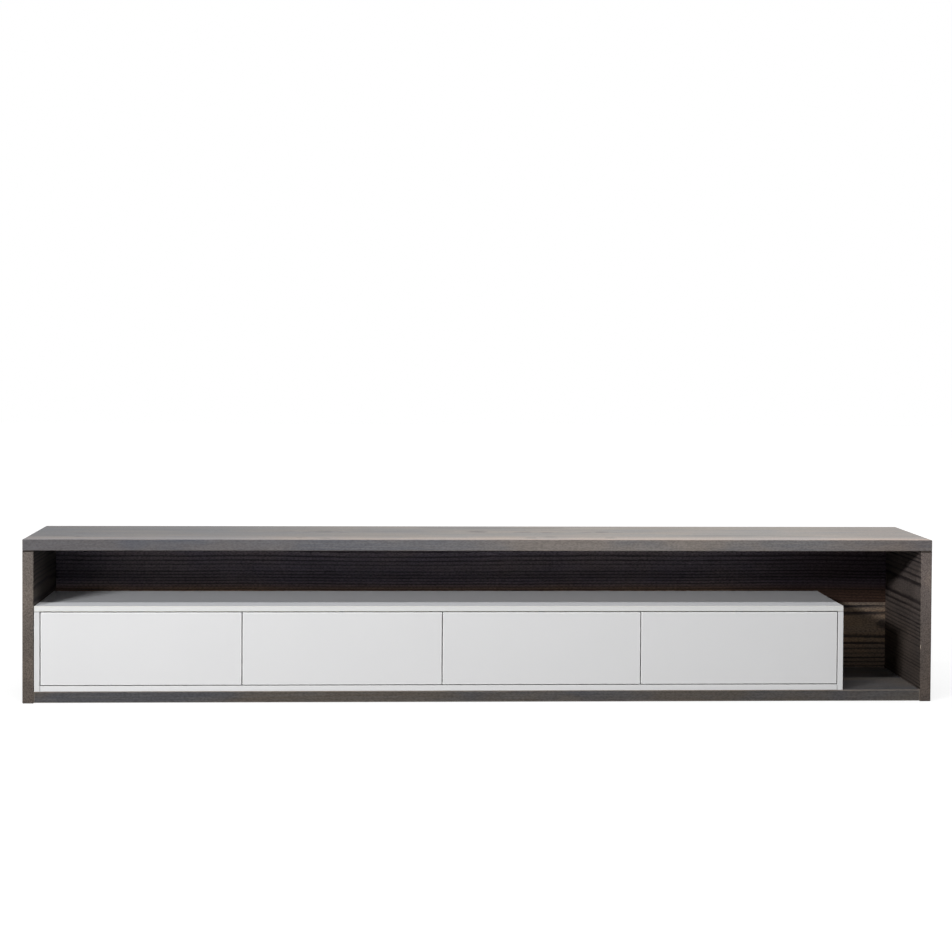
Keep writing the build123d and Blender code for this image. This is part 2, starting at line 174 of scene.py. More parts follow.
rings = number(grain_field, "DIVIDE", radius, given["Ring"])
ring_chance = chance(grain_field, number(grain_field, "FLOOR", rings))["Value"]
ring_share = number(grain_field, "FRACT", rings)
late_wood = number(grain_field, "MULTIPLY", ramp(grain_field, ring_share, late_wood_start, late_wood_full),
                   ramp(grain_field, ring_share, late_wood_end, 1.0, 1.0, 0.0))
lasting_place = stretch(grain_field, given["Place"], lasting_stretch)
lasting = ramp(grain_field, noise(grain_field, lasting_place, lasting_scale, 2.0, stave_seed), 0.3, 0.6, 0.7, 1.0)
line_weight = number(grain_field, "MULTIPLY", ramp(grain_field, ring_chance, 0.05, 0.6, 0.5, 1.0), lasting)
grain_field.links.new(number(grain_field, "MULTIPLY", late_wood, line_weight), result["Lines"])
fibres = noise(grain_field, stretch(grain_field, given["Place"], fibre_stretch), fibre_scale, 3.0, stave_seed)
grain_field.links.new(fibres, result["Fibre"])
patches = noise(grain_field, stretch(grain_field, given["Place"], patch_stretch), patch_scale, 3.0, stave_seed)
grain_field.links.new(patches, result["Patch"])
grain_field.links.new(chance_c, result["Tone"])
speckle = noise(grain_field, stretch(grain_field, given["Place"], speckle_stretch), speckle_scale, 2.0, given["Seed"])
grain_field.links.new(speckle, result["Speckle"])

# Knot: a dark spot, and how far it pushes the year rings aside
knot_stretch, knot_ragged_scale, knot_ragged_spread, knot_least = (0.55, 1.0, 0.3), 90.0, 0.9, 0.55
bend_share, bend_falloff = 0.7, -0.22
knot, given, result = new_group("knot", {"Place": "Vector", "Centre": "Vector", "Size": "Float"},
                                {"Spot": "Float", "Bend": "Float"})
offset = vector_math(knot, "SUBTRACT", given["Place"], given["Centre"])[0]
ragged = number(knot, "MULTIPLY_ADD", noise(knot, given["Place"], knot_ragged_scale), knot_ragged_spread, knot_least)
reach = vector_math(knot, "LENGTH", stretch(knot, offset, knot_stretch))["Value"]
reach = number(knot, "DIVIDE", reach, number(knot, "MULTIPLY", given["Size"], ragged))
knot.links.new(ramp(knot, reach, 0.5, 1.1, 1.0, 0.0), result["Spot"])
swell = number(knot, "EXPONENT", number(knot, "MULTIPLY", number(knot, "POWER", reach, 2.0), bend_falloff))
knot.links.new(number(knot, "MULTIPLY", swell, number(knot, "MULTIPLY", given["Size"], bend_share)), result["Bend"])

# Worn arrises of the timber, and painted highlight bands along the lacquer's edges: 1 on an edge of a board's box,
# fading unevenly over the given width
uneven_scale, uneven_spread, uneven_least = 55.0, 1.6, 0.2
arris_wear_and_highlight, given, result = new_group("arris_wear_and_highlight", {"Place": "Vector", "Low": "Vector", "High": "Vector",
                                                     "Width": "Float"}, {"Mask": "Float"})
inside_low = vector_math(arris_wear_and_highlight, "SUBTRACT", given["Place"], given["Low"])[0]
inside_high = vector_math(arris_wear_and_highlight, "SUBTRACT", given["High"], given["Place"])[0]
near_x, near_y, near_z = split(arris_wear_and_highlight, vector_math(arris_wear_and_highlight, "MINIMUM", inside_low, inside_high)[0])
pair_low = number(arris_wear_and_highlight, "MINIMUM", near_x, near_y)
pair_high = number(arris_wear_and_highlight, "MAXIMUM", near_x, near_y)
to_edge = number(arris_wear_and_highlight, "MAXIMUM", pair_low, number(arris_wear_and_highlight, "MINIMUM", pair_high, near_z))
uneven_reach = number(arris_wear_and_highlight, "MULTIPLY_ADD", noise(arris_wear_and_highlight, given["Place"], uneven_scale, 3.0), uneven_spread, uneven_least)
edge_share = number(arris_wear_and_highlight, "DIVIDE", to_edge, number(arris_wear_and_highlight, "MULTIPLY", given["Width"], uneven_reach))
arris_wear_and_highlight.links.new(ramp(arris_wear_and_highlight, edge_share, 0.6, 1.0, 1.0, 0.0), result["Mask"])

spot_depth, end_line_share, sheen_spread = 0.7, 0.15, 0.16
chip_stretch = (1.0, 0.4, 1.0)


def timber_finish(node, axes, colours, seed, stave=0.112, ring=0.009, pith=0.5, depth=0.05, scatter=1.6, wave=0.036,
                  line_depth=0.5, knots=(), stains=(), chips=(), drift=(), painted_face_light=1.0, speckled=0.5, worn=0.55,
                  wear=0.0025, worn_depth=0.012, **values):
    """Stained timber for one board. The axes say which of the board's own run along, across and through it.

    Knots bend the rings, stains are dark spots that don't, and chips are pale: each has its place and its size.
    Each drift is an axis, two places on it and the colour's factor at them; some drifts paint light and some paint
    shade. The painted face light multiplies the wide faces' colour: painted shade below 1, painted light above 1.
    """
    pale, cool, warm, line_colour, arris_colour = colours
    material, tree, shader = new_finish(node + "_finish", **values)
    spot_place = put(tree, "ShaderNodeTexCoord")
    parts = split(tree, spot_place["Object"])
    facing = split(tree, spot_place["Normal"])
    place = put(tree, "ShaderNodeCombineXYZ", {i: parts[axis] for i, axis in enumerate(axes)})[0]
    spot, bend = 0.0, 0.0
    for *centre, size in knots:
        made = put(tree, "ShaderNodeGroup", {"Place": place, "Centre": centre, "Size": size}, node_tree=knot)
        spot = number(tree, "MAXIMUM", spot, made["Spot"])
        bend = number(tree, "ADD", bend, made["Bend"])
    for *centre, size in stains:
        made = put(tree, "ShaderNodeGroup", {"Place": place, "Centre": centre, "Size": size}, node_tree=knot)
        spot = number(tree, "MAXIMUM", spot, made["Spot"])
    inputs = {"Place": place, "Stave": stave, "Ring": ring, "Pith": pith, "Depth": depth, "Scatter": scatter,
              "Seed": seed, "Wave": wave, "Bend": bend}
    grain = put(tree, "ShaderNodeGroup", inputs, node_tree=grain_field)
    on_face = number(tree, "ABSOLUTE", facing[axes[2]])
    colour = blend(tree, ramp(tree, grain["Patch"], 0.4, 0.62), cool, warm)
    colour = blend(tree, ramp(tree, grain["Fibre"], 0.42, 0.7, to_high=0.55), colour, pale)
    colour = blend(tree, ramp(tree, grain["Tone"], 0.0, 1.0, to_high=0.25), colour, pale)
    line_strength = ramp(tree, on_face, 0.0, 1.0, line_depth * end_line_share, line_depth)
    colour = blend(tree, number(tree, "MULTIPLY", grain["Lines"], line_strength), colour, line_colour)
    colour = blend(tree, ramp(tree, grain["Speckle"], 0.36, 0.6, speckled, 0.0), colour, line_colour)
    colour = blend(tree, number(tree, "MULTIPLY", spot, spot_depth), colour, line_colour)
    for axis, start, end, at_start, at_end in drift:
        strength = ramp(tree, parts[axis], start, end)
        colour = blend(tree, 1.0, colour, blend(tree, strength, at_start, at_end), "MULTIPLY")
    # Painted light and shade on the wide faces
    if painted_face_light != 1.0:
        colour = blend(tree, on_face, colour, blend(tree, 1.0, colour, (painted_face_light,) * 3, "MULTIPLY"))
    low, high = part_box(node)
    inputs = {"Place": spot_place["Object"], "Low": low, "High": high, "Width": wear}
    worn_away = put(tree, "ShaderNodeGroup", inputs, node_tree=arris_wear_and_highlight)["Mask"]
    in_reach = ramp(tree, parts[y_axis], low.y + worn_depth, low.y + worn_depth * 1.5, worn, 0.0)
    colour = blend(tree, number(tree, "MULTIPLY", worn_away, in_reach), colour, arris_colour)
    for *centre, size in chips:
        from_chip = vector_math(tree, "SUBTRACT", place, centre)[0]
        chip_reach = vector_math(tree, "LENGTH", stretch(tree, from_chip, chip_stretch))["Value"]
        colour = blend(tree, ramp(tree, chip_reach, size * 0.6, size, 1.0, 0.0), colour, arris_colour)
    tree.links.new(colour, shader["Base Color"])
    dullest = values.get("Roughness", 0.5) - sheen_spread / 2
    tree.links.new(number(tree, "MULTIPLY_ADD", grain["Fibre"], sheen_spread, dullest), shader["Roughness"])
    height = number(tree, "MULTIPLY_ADD", grain["Lines"], -0.5, grain["Fibre"])
    bump(tree, shader, height, 0.25, 0.0006)
    coat(node, material)


line_brown, rubbed_beige = (0.017, 0.014, 0.015), (0.34, 0.285, 0.235)
top_colours = ((0.27, 0.25, 0.235), (0.15, 0.153, 0.166), (0.21, 0.184, 0.165), line_brown, rubbed_beige)
bottom_colours = ((0.14, 0.135, 0.13), (0.08, 0.081, 0.09), (0.106, 0.09, 0.075), line_brown, rubbed_beige)
left_colours = ((0.2, 0.17, 0.146), (0.118, 0.102, 0.092), (0.16, 0.134, 0.115), line_brown, rubbed_beige)
right_colours = ((0.187, 0.156, 0.14), (0.1, 0.086, 0.08), (0.143, 0.116, 0.1), line_brown, rubbed_beige)
slab_axes, side_axes = (x_axis, y_axis, z_axis), (y_axis, z_axis, x_axis)
full, stand_height = (1.0, 1.0, 1.0), 0.484

# Knots of the top slab: place along, place across, and size
top_knots = [(x, y, stand_height, size) for x, y, size in (
    (-1.207, -0.022, 0.010), (-1.2, -0.127, 0.010), (-0.472, 0.022, 0.018), (-0.465, -0.18, 0.012),
    (-0.543, -0.15, 0.006), (-0.004, 0.037, 0.014), (0.147, 0.022, 0.014), (0.15, -0.165, 0.014),
    (0.21, 0.007, 0.013), (0.21, -0.135, 0.013), (0.382, 0.022, 0.016), (0.39, -0.165, 0.012))]
# The slab's front strip is lighter, fading out about 13 cm back: painted reflection. The front edge tone takes most of
# it off the front face, which ends darker and bluer than the top.
front_edge_tone, front_painted_reflection = (0.375, 0.42, 0.472), (1.95, 1.84, 1.77)
top_left_tone, top_right_tone, right_end_tone = (0.8, 0.81, 0.85), (1.5, 1.4, 1.28), (0.87, 0.84, 0.84)
top_drift = ((y_axis, -0.2245, -0.223, front_edge_tone, full), (y_axis, -0.19, -0.09, front_painted_reflection, full),
             (x_axis, -1.35, 0.7, top_left_tone, top_right_tone), (x_axis, 1.0, 1.25, full, right_end_tone))
timber_finish("top_slab", slab_axes, top_colours, 3.0, ring=0.008, depth=-0.44, wave=0.03, line_depth=0.42,
              knots=top_knots, drift=top_drift, speckled=0.28, worn=0.08, Roughness=0.42)

# Dark lines where the bottom slab meets the side panels and where these meet the top slab: painted shade of the
# grooves between their chamfered arrises
slab_joint_shade, panel_joint_shade = (0.35, 0.33, 0.33), (0.12, 0.11, 0.11)
slab_end, joint_reach = 1.3155, 0.001
bottom_joint_shading = ((x_axis, -slab_end - joint_reach, -slab_end + joint_reach, slab_joint_shade, full),
                (x_axis, slab_end - joint_reach, slab_end + joint_reach, full, slab_joint_shade))
# The bottom slab's wide faces are lighter than its edges: painted light.
timber_finish("bottom_slab", slab_axes, bottom_colours, 8.0, line_depth=0.45, drift=bottom_joint_shading, painted_face_light=1.35,
              speckled=0.35, worn=0.45, Roughness=0.55)

# Side panels: one wide figure each, from a pith far out, with a colour that gets lighter upwards. Their wide faces are
# darker than their edges: painted shade.
panel_figure = {"stave": stand_height, "ring": 0.0095, "pith": 0.66, "scatter": 0.0, "worn": 0.25, "wear": 0.0012,
                "Roughness": 0.55, "Specular_IOR_Level": 0.3}
panel_joint_shading = (z_axis, 0.446, 0.448, full, panel_joint_shade)
left_drift = ((z_axis, 0.05, 0.45, (0.88, 0.86, 0.84), (1.22, 1.22, 1.22)), panel_joint_shading)
right_drift = ((z_axis, 0.05, 0.45, (0.9, 0.88, 0.86), (1.62, 1.6, 1.6)), panel_joint_shading)
right_chip = ((-0.225, 0.164, 1.317, 0.003),)
timber_finish("left_side_panel", side_axes, left_colours, 5.0, depth=1.37, line_depth=0.95, drift=left_drift,
              painted_face_light=0.5, **panel_figure)
timber_finish("right_side_panel", side_axes, right_colours, 4.0, depth=-1.2394, wave=0.014, line_depth=1.0,
              drift=right_drift, painted_face_light=0.72, chips=right_chip, **panel_figure)

# Back boards
# Two wide boards that close the rear, let into the frame's rebate and screwed from behind. They are the same softwood
# with a thinner stain, brown below and purplish above, so their flat-sawn figure shows clearly; the upper board's
# purple cast and lighter colours are painted cool light of its shade.
# Purplish and lighter than the lower board: painted cool light of the shade
upper_painted_cool_colours = ((0.32, 0.275, 0.31), (0.22, 0.19, 0.24), (0.265, 0.22, 0.235), (0.026, 0.02, 0.027),
                 (0.16, 0.13, 0.115))
# Below about 30 cm the upper board turns a darker orange-brown, a painted band of warm light, and it darkens towards
# its right end: painted shade.
upper_painted_light_band, upper_right_painted_shade = (0.6, 0.46, 0.27), (0.45, 0.4, 0.42)
upper_drift = ((z_axis, 0.28, 0.315, upper_painted_light_band, full), (x_axis, 0.7, 1.15, full, upper_right_painted_shade))
lower_colours = ((0.35, 0.26, 0.18), (0.2, 0.162, 0.136), (0.29, 0.195, 0.12), (0.02, 0.017, 0.02),
                 (0.3, 0.24, 0.18))
# The lower board darkens towards its bottom: painted shade.
lower_painted_bottom_shade = ((z_axis, 0.05, 0.15, (0.7, 0.66, 0.62), full),)
lower_stain = ((1.317, 0.174, 0.212, 0.02),)
back_axes = (x_axis, z_axis, y_axis)
back_figure = {"stave": 1.0, "scatter": 0.0, "Roughness": 0.6, "Specular_IOR_Level": 0.25}
timber_finish("upper_back_board", back_axes, upper_painted_cool_colours, 2.0, ring=0.0085, pith=0.43, depth=-0.152, wave=0.016,
              line_depth=0.78, drift=upper_drift, worn=0.0, **back_figure)
timber_finish("lower_back_board", back_axes, lower_colours, 9.0, ring=0.0105, pith=0.171, depth=-0.1239, wave=0.011,
              line_depth=0.95, stains=lower_stain, drift=lower_painted_bottom_shade, worn=0.2, worn_depth=1.0, wear=0.0008,
              **back_figure)

# Screws of the back boards
# Zinc-plated wafer-head screws with a cross recess, driven from behind through the boards' edges into the rebate.
# The heads are 0.8 mm high and the boards are set in by 1 mm, so the stand still goes flat against a wall.
head_sides, rim_share, rim_steps = 20, 0.5, 2
recess_length_share, recess_width_share, recess_depth_share = 1.1, 0.26, 0.7
crease_angle, turn_step = math.radians(35.0), 0.7


def screw_head(radius, height):
    """Screw head that faces up from the origin, with a rounded rim and a cross recess."""
    bpy.ops.mesh.primitive_cylinder_add(vertices=head_sides, radius=radius, depth=height,
                                        location=(0.0, 0.0, height / 2))
    head = bpy.context.active_object
    bpy.ops.object.mode_set(mode="EDIT")
    bpy.ops.mesh.select_mode(type="FACE")
    bpy.ops.mesh.select_all(action="DESELECT")
    bpy.ops.object.mode_set(mode="OBJECT")
    for face in head.data.polygons:
        face.select = face.normal.z > 0.9
    bpy.ops.object.mode_set(mode="EDIT")
    bpy.ops.mesh.bevel(offset=height * rim_share, segments=rim_steps, affect="EDGES")
    bpy.ops.object.mode_set(mode="OBJECT")
    bar_length, bar_width = radius * recess_length_share, radius * recess_width_share
    recess_depth = height * recess_depth_share
    for bar_size in ((bar_length, bar_width), (bar_width, bar_length)):
        bpy.ops.mesh.primitive_cube_add(size=1.0, location=(0.0, 0.0, height), scale=(*bar_size, 2 * recess_depth))
        cutter = bpy.context.active_object
        cut = head.modifiers.new("recess", "BOOLEAN")
        cut.operation, cut.solver, cut.object = "DIFFERENCE", "EXACT", cutter
        bpy.ops.object.select_all(action="DESELECT")
        bpy.context.view_layer.objects.active = head
        bpy.ops.object.modifier_apply(modifier=cut.name)
        bpy.data.objects.remove(cutter)
    bpy.ops.object.select_all(action="DESELECT")
    return head


def set_out(pattern, name, spots, facing, body, material):
    """Copies of a pattern at these places, all facing one way and each turned on its own, as one piece of a body."""
    twins = []
    for index, spot in enumerate(spots):
        twin = pattern.copy()
        twin.data = pattern.data.copy()
        bpy.context.collection.objects.link(twin)
        own_turn = Quaternion((0.0, 0.0, 1.0), index * turn_step)
        twin.rotation_mode = "QUATERNION"
        twin.rotation_quaternion = Vector(facing).to_track_quat("Z", "Y") @ own_turn
        twin.location = spot
        twin.select_set(True)
        twins.append(twin)
    piece = twins[0]
    bpy.context.view_layer.objects.active = piece
    bpy.ops.object.join()
    bpy.ops.object.transform_apply(location=True, rotation=True, scale=True)
    piece.rotation_mode = "XYZ"
    piece.name = name
    piece.data.materials.clear()
    piece.data.materials.append(material)
    bpy.ops.object.shade_smooth_by_angle(angle=crease_angle)
    bpy.ops.object.select_all(action="DESELECT")
    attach(piece, body)


# Zinc plating: slightly cloudy, with faint rolling streaks along the part's length
cloud_scale, streak_stretch, streak_scale = 60.0, (1.0, 0.02, 1.0), 900.0
zinc_plating, given, result = new_group("zinc_plating", {"Place": "Vector"}, {"Cloud": "Float", "Streak": "Float"})
zinc_plating.links.new(noise(zinc_plating, given["Place"], cloud_scale, 3.0), result["Cloud"])
along = stretch(zinc_plating, given["Place"], streak_stretch)
zinc_plating.links.new(noise(zinc_plating, along, streak_scale, 2.0), result["Streak"])


def zinc_finish(name, bright, dull):
    """Zinc-plated steel between two greys."""
    material, tree, shader = new_finish(name, Metallic=1.0)
    place = put(tree, "ShaderNodeTexCoord")["Object"]
    plating = put(tree, "ShaderNodeGroup", {"Place": place}, node_tree=zinc_plating)
    colour = blend(tree, ramp(tree, plating["Cloud"], 0.35, 0.65), dull, bright)
    colour = blend(tree, ramp(tree, plating["Streak"], 0.3, 0.7, to_high=0.25), colour, dull)
    tree.links.new(colour, shader["Base Color"])
    tree.links.new(number(tree, "MULTIPLY_ADD", plating["Cloud"], 0.2, 0.24), shader["Roughness"])
    bump(tree, shader, plating["Streak"], 0.1, 0.0001)
    return material


screw_zinc = zinc_finish("screw_zinc", bright=(0.66, 0.66, 0.67), dull=(0.45, 0.45, 0.47))
coat("case_screws", screw_zinc)

wafer_radius, wafer_height = 0.0034, 0.0008
screw_from_edge = 0.005
back_screw_count, back_screw_reach = 10, 1.25
back_screw_heights = (0.09, 0.18, 0.30, 0.39)
upper_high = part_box("upper_back_board")[1]
lower_low, lower_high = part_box("lower_back_board")
back_screw_columns = [-back_screw_reach + 2 * back_screw_reach * column / (back_screw_count - 1)
                      for column in range(back_screw_count)]
back_screw_spots = [(x, upper_high.y, z) for z in (lower_low.z + screw_from_edge, upper_high.z - screw_from_edge)
                    for x in back_screw_columns]
back_screw_spots += [(x, upper_high.y, z) for x in (lower_low.x + screw_from_edge, lower_high.x - screw_from_edge)
                     for z in back_screw_heights]
wafer_head = screw_head(wafer_radius, wafer_height)
set_out(wafer_head, "back_board_screws", back_screw_spots, (0.0, 1.0, 0.0), "frame", screw_zinc)
bpy.data.objects.remove(wafer_head)

# Lacquered case and drawer fronts
# Boards with a sprayed white satin lacquer, tongued or housed in each other and screwed down on the bottom slab.
# Their eased edges get brighter bands of painted highlight, and a fine grey line of painted shade shows where two
# boards of the case meet.
# The case top's white is lighter and bluer than the other boards': painted cool light on the top.
lacquer_white, case_top_painted_cool_white, lacquer_cloud = (0.745, 0.745, 0.75), (0.765, 0.78, 0.812), (0.6, 0.6, 0.61)
# Brighter bands along the edges: painted highlight
case_highlight_band, front_highlight_band, highlight_band_width = (0.77, 0.77, 0.77), (0.88, 0.88, 0.88), 0.0028
# Fine grey line where two case boards meet: painted shade
painted_joint_shade, joint_near, joint_far, joint_shade_depth = (0.3, 0.3, 0.31), 0.0015, 0.0028, 0.7
front_edge_start, front_edge_end = 0.0008, 0.0016


def lacquer_finish(node, white, highlight_white, joints=(), front_tone=full):
    """White satin lacquer with a brighter band of painted highlight along the board's edges.

    Each joint is an axis and the place on it where the board meets another, and a fine grey line of painted shade lies
    along the groove of the eased edges.
    The front tone multiplies the colour of the edge that faces the front.
    """
    material, tree, shader = new_finish(node + "_finish", Roughness=0.42, Specular_IOR_Level=0.22)
    place = put(tree, "ShaderNodeTexCoord")["Object"]
    low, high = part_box(node)
    inputs = {"Place": place, "Low": low, "High": high, "Width": highlight_band_width}
    # Painted highlight: a brighter band along the eased edges
    band = put(tree, "ShaderNodeGroup", inputs, node_tree=arris_wear_and_highlight)["Mask"]
    cloud = noise(tree, place, 6.0, 3.0)
    colour = blend(tree, ramp(tree, cloud, 0.3, 0.7, to_high=0.05), white, lacquer_cloud)
    colour = blend(tree, band, colour, highlight_white)
    parts = split(tree, place)
    at_front = ramp(tree, parts[y_axis], low.y + front_edge_start, low.y + front_edge_end, 1.0, 0.0)
    colour = blend(tree, at_front, colour, blend(tree, 1.0, colour, front_tone, "MULTIPLY"))
    # Painted shade: a fine grey line in the groove where two boards meet
    for axis, joint_place in joints:
        away = number(tree, "ABSOLUTE", number(tree, "SUBTRACT", parts[axis], joint_place))
        colour = blend(tree, ramp(tree, away, joint_near, joint_far, joint_shade_depth, 0.0), colour, painted_joint_shade)
    tree.links.new(colour, shader["Base Color"])
    peel = noise(tree, place, 700.0, 1.0)
    bump(tree, shader, peel, 0.06, 0.0002)
    coat(node, material)


drawers = range(1, 5)
case_nodes = [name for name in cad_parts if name.startswith("case_") and name != "case_screws"]
top_joint = (z_axis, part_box("case_top")[0].z)
bottom_joints = ((x_axis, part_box("case_left_side")[1].x), (x_axis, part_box("case_right_side")[0].x))
case_joints = {"case_left_side": (top_joint,), "case_right_side": (top_joint,), "case_bottom": bottom_joints}
front_tones = {"case_top": (0.951, 0.942, 0.897), "case_left_side": (0.932, 0.932, 0.932)}
for name in case_nodes:
    lacquer_finish(name, case_top_painted_cool_white if name == "case_top" else lacquer_white, case_highlight_band,
                   case_joints.get(name, ()), front_tones.get(name, full))
for n in drawers:
    lacquer_finish(f"drawer_{n}_front", lacquer_white, front_highlight_band)

# Drawer boxes
# Birch plywood with finger-jointed corners, oiled, so the plies show on every edge and at the fingers' ends. Four
# pan-head screws hold each lacquered front on from inside its box.
ply_sheet, glue_share, glue_depth = 0.0013, 0.16, 0.6
veneer_dark, veneer_light, veneer_fibre = (0.66, 0.5, 0.34), (0.73, 0.58, 0.42), (0.54, 0.39, 0.25)
ply_along, ply_crossed, ply_odd = (0.66, 0.5, 0.33), (0.43, 0.29, 0.17), (0.55, 0.4, 0.25)
glue_brown = (0.2, 0.12, 0.07)


def plywood_finish(node, through, along):
    """Birch plywood for one board, with its thin axis and the axis along its grain. The plies show on its edges."""
    material, tree, shader = new_finish(node + "_finish", Specular_IOR_Level=0.35)
    spot_place = put(tree, "ShaderNodeTexCoord")
    parts = split(tree, spot_place["Object"])
    facing = split(tree, spot_place["Normal"])
    depth = number(tree, "SUBTRACT", parts[through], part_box(node)[0][through])
    sheets = number(tree, "DIVIDE", depth, ply_sheet)
    sheet_number = number(tree, "FLOOR", sheets)
    crossed = number(tree, "MODULO", sheet_number, 2.0)
    sheet_chance = chance(tree, sheet_number)["Value"]
    glue = ramp(tree, number(tree, "FRACT", sheets), 0.0, glue_share, 1.0, 0.0)
    figure_size = [0.12 if axis == along else 2.0 for axis in (x_axis, y_axis, z_axis)]
    fibre_size = [0.03 if axis == along else 1.0 for axis in (x_axis, y_axis, z_axis)]
    figure = noise(tree, stretch(tree, spot_place["Object"], figure_size), 14.0, 4.0, 1.0)
    fibre = noise(tree, stretch(tree, spot_place["Object"], fibre_size), 520.0, 3.0, 2.0)
    veneer = blend(tree, ramp(tree, figure, 0.35, 0.65), veneer_dark, veneer_light)
    veneer = blend(tree, ramp(tree, fibre, 0.45, 0.75, to_high=0.35), veneer, veneer_fibre)
    edge = blend(tree, crossed, ply_along, ply_crossed)
    edge = blend(tree, number(tree, "MULTIPLY", sheet_chance, 0.25), edge, ply_odd)
    edge = blend(tree, number(tree, "MULTIPLY", glue, glue_depth), edge, glue_brown)
    on_face = ramp(tree, number(tree, "ABSOLUTE", facing[through]), 0.75, 0.95)
    tree.links.new(blend(tree, on_face, edge, veneer), shader["Base Color"])
    tree.links.new(number(tree, "MULTIPLY_ADD", fibre, 0.2, 0.42), shader["Roughness"])
    bump(tree, shader, fibre, 0.2, 0.0002)
    coat(node, material)


box_boards = {"box_left_side": (x_axis, y_axis), "box_right_side": (x_axis, y_axis), "box_front": (y_axis, x_axis),
              "box_back": (y_axis, x_axis), "box_bottom": (z_axis, x_axis)}
pan_radius, pan_height = 0.004, 0.0022
front_screw_reach, front_screw_heights = 0.19, (0.103, 0.188)
pan_head = screw_head(pan_radius, pan_height)
for n in drawers:
    for board, (through, along) in box_boards.items():
        plywood_finish(f"drawer_{n}_{board}", through, along)
    low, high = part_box(f"drawer_{n}_box_front")
    middle = (low.x + high.x) / 2
    spots = [(middle + side * front_screw_reach, high.y, z) for side in (-1, 1) for z in front_screw_heights]
    set_out(pan_head, f"drawer_{n}_front_screws", spots, (0.0, 1.0, 0.0), f"drawer_{n}", screw_zinc)
bpy.data.objects.remove(pan_head)

# Ball-bearing runners
# Roll-formed, zinc-plated steel in three nested members. Balls sit in the cages between them, and flat-headed
# screws hold the outer members to the case and the inner ones to the boxes.
runner_zinc = zinc_finish("runner_zinc", bright=(0.68, 0.69, 0.71), dull=(0.5, 0.51, 0.53))
ball_steel = zinc_finish("ball_steel", bright=(0.75, 0.75, 0.76), dull=(0.62, 0.62, 0.64))
runner_thickness, rail_sheet, ball_space, ball_radius = 0.0127, 0.0012, 0.0024, 0.00115
outer_ball_reach, inner_ball_reach = 0.0074, 0.0082
balls_per_cage, ball_pitch, first_ball = 12, 0.014, 0.010
rail_screw_radius, flat_height, raised_height = 0.0036, 0.0006, 0.0012
cabinet_screw_places, box_screw_places = (-0.15, 0.0, 0.12), (-0.19, -0.10, 0.03, 0.125)
flat_head = screw_head(rail_screw_radius, flat_height)
raised_head = screw_head(rail_screw_radius, raised_height)
bpy.ops.mesh.primitive_ico_sphere_add(subdivisions=2, radius=ball_radius, location=(0.0, 0.0, 0.0))
ball = bpy.context.active_object
bpy.ops.object.select_all(action="DESELECT")
for n in drawers:
    for members in ("cabinet_rails", "middle_rails", "box_rails"):
        coat(f"drawer_{n}_{members}", runner_zinc)
    outer_low, outer_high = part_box(f"drawer_{n}_cabinet_rails")
    middle_low, middle_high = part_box(f"drawer_{n}_middle_rails")
    level = (outer_low.z + outer_high.z) / 2
    walls = ((outer_low.x, 1), (outer_high.x, -1))
    outer_row = (outer_high.z - outer_low.z) / 2 - rail_sheet - ball_space / 2
    inner_row = (middle_high.z - middle_low.z) / 2 - rail_sheet - ball_space / 2
    cages = ((outer_ball_reach, middle_high.y, outer_row),
             (inner_ball_reach, (middle_low.y + middle_high.y) / 2, inner_row))
    ball_spots = [(wall + inwards * reach, rear - first_ball - ball_pitch * k, level + side * row)
                  for wall, inwards in walls for reach, rear, row in cages
                  for side in (-1, 1) for k in range(balls_per_cage)]
    set_out(ball, f"drawer_{n}_runner_balls", ball_spots, (0.0, 0.0, 1.0),
            f"drawer_{n}_middle", ball_steel)
    for side_name, (wall, inwards) in zip(("left", "right"), walls):
        cabinet_spots = [(wall + inwards * rail_sheet, y, level) for y in cabinet_screw_places]
        set_out(flat_head, f"drawer_{n}_{side_name}_cabinet_rail_screws", cabinet_spots,
                (float(inwards), 0.0, 0.0), "frame", screw_zinc)
        web = wall + inwards * (runner_thickness - rail_sheet)
        box_spots = [(web, y, level) for y in box_screw_places]
        set_out(raised_head, f"drawer_{n}_{side_name}_box_rail_screws", box_spots,
                (float(-inwards), 0.0, 0.0), f"drawer_{n}", screw_zinc)
for pattern in (flat_head, raised_head, ball):
    bpy.data.objects.remove(pattern)

# Push catches
# Moulded grey housings screwed up under the case top, each with a spring plunger behind the top of its front.
# Pressing a front lets the plunger push it open.
mould_shade = 0.88


def plastic_finish(name, colour, rough, nodes):
    """Moulded plastic with a fine spark-eroded texture."""
    material, tree, shader = new_finish(name, Specular_IOR_Level=0.45)
    place = put(tree, "ShaderNodeTexCoord")["Object"]
    mottle = noise(tree, place, 45.0, 3.0)
    shade = tuple(part * mould_shade for part in colour)
    tree.links.new(blend(tree, ramp(tree, mottle, 0.35, 0.65), shade, colour), shader["Base Color"])
    texture = noise(tree, place, 2600.0, 2.0)
    tree.links.new(number(tree, "MULTIPLY_ADD", texture, 0.12, rough), shader["Roughness"])
    bump(tree, shader, texture, 0.2, 0.0001)
    for node in nodes:
        coat(node, material)


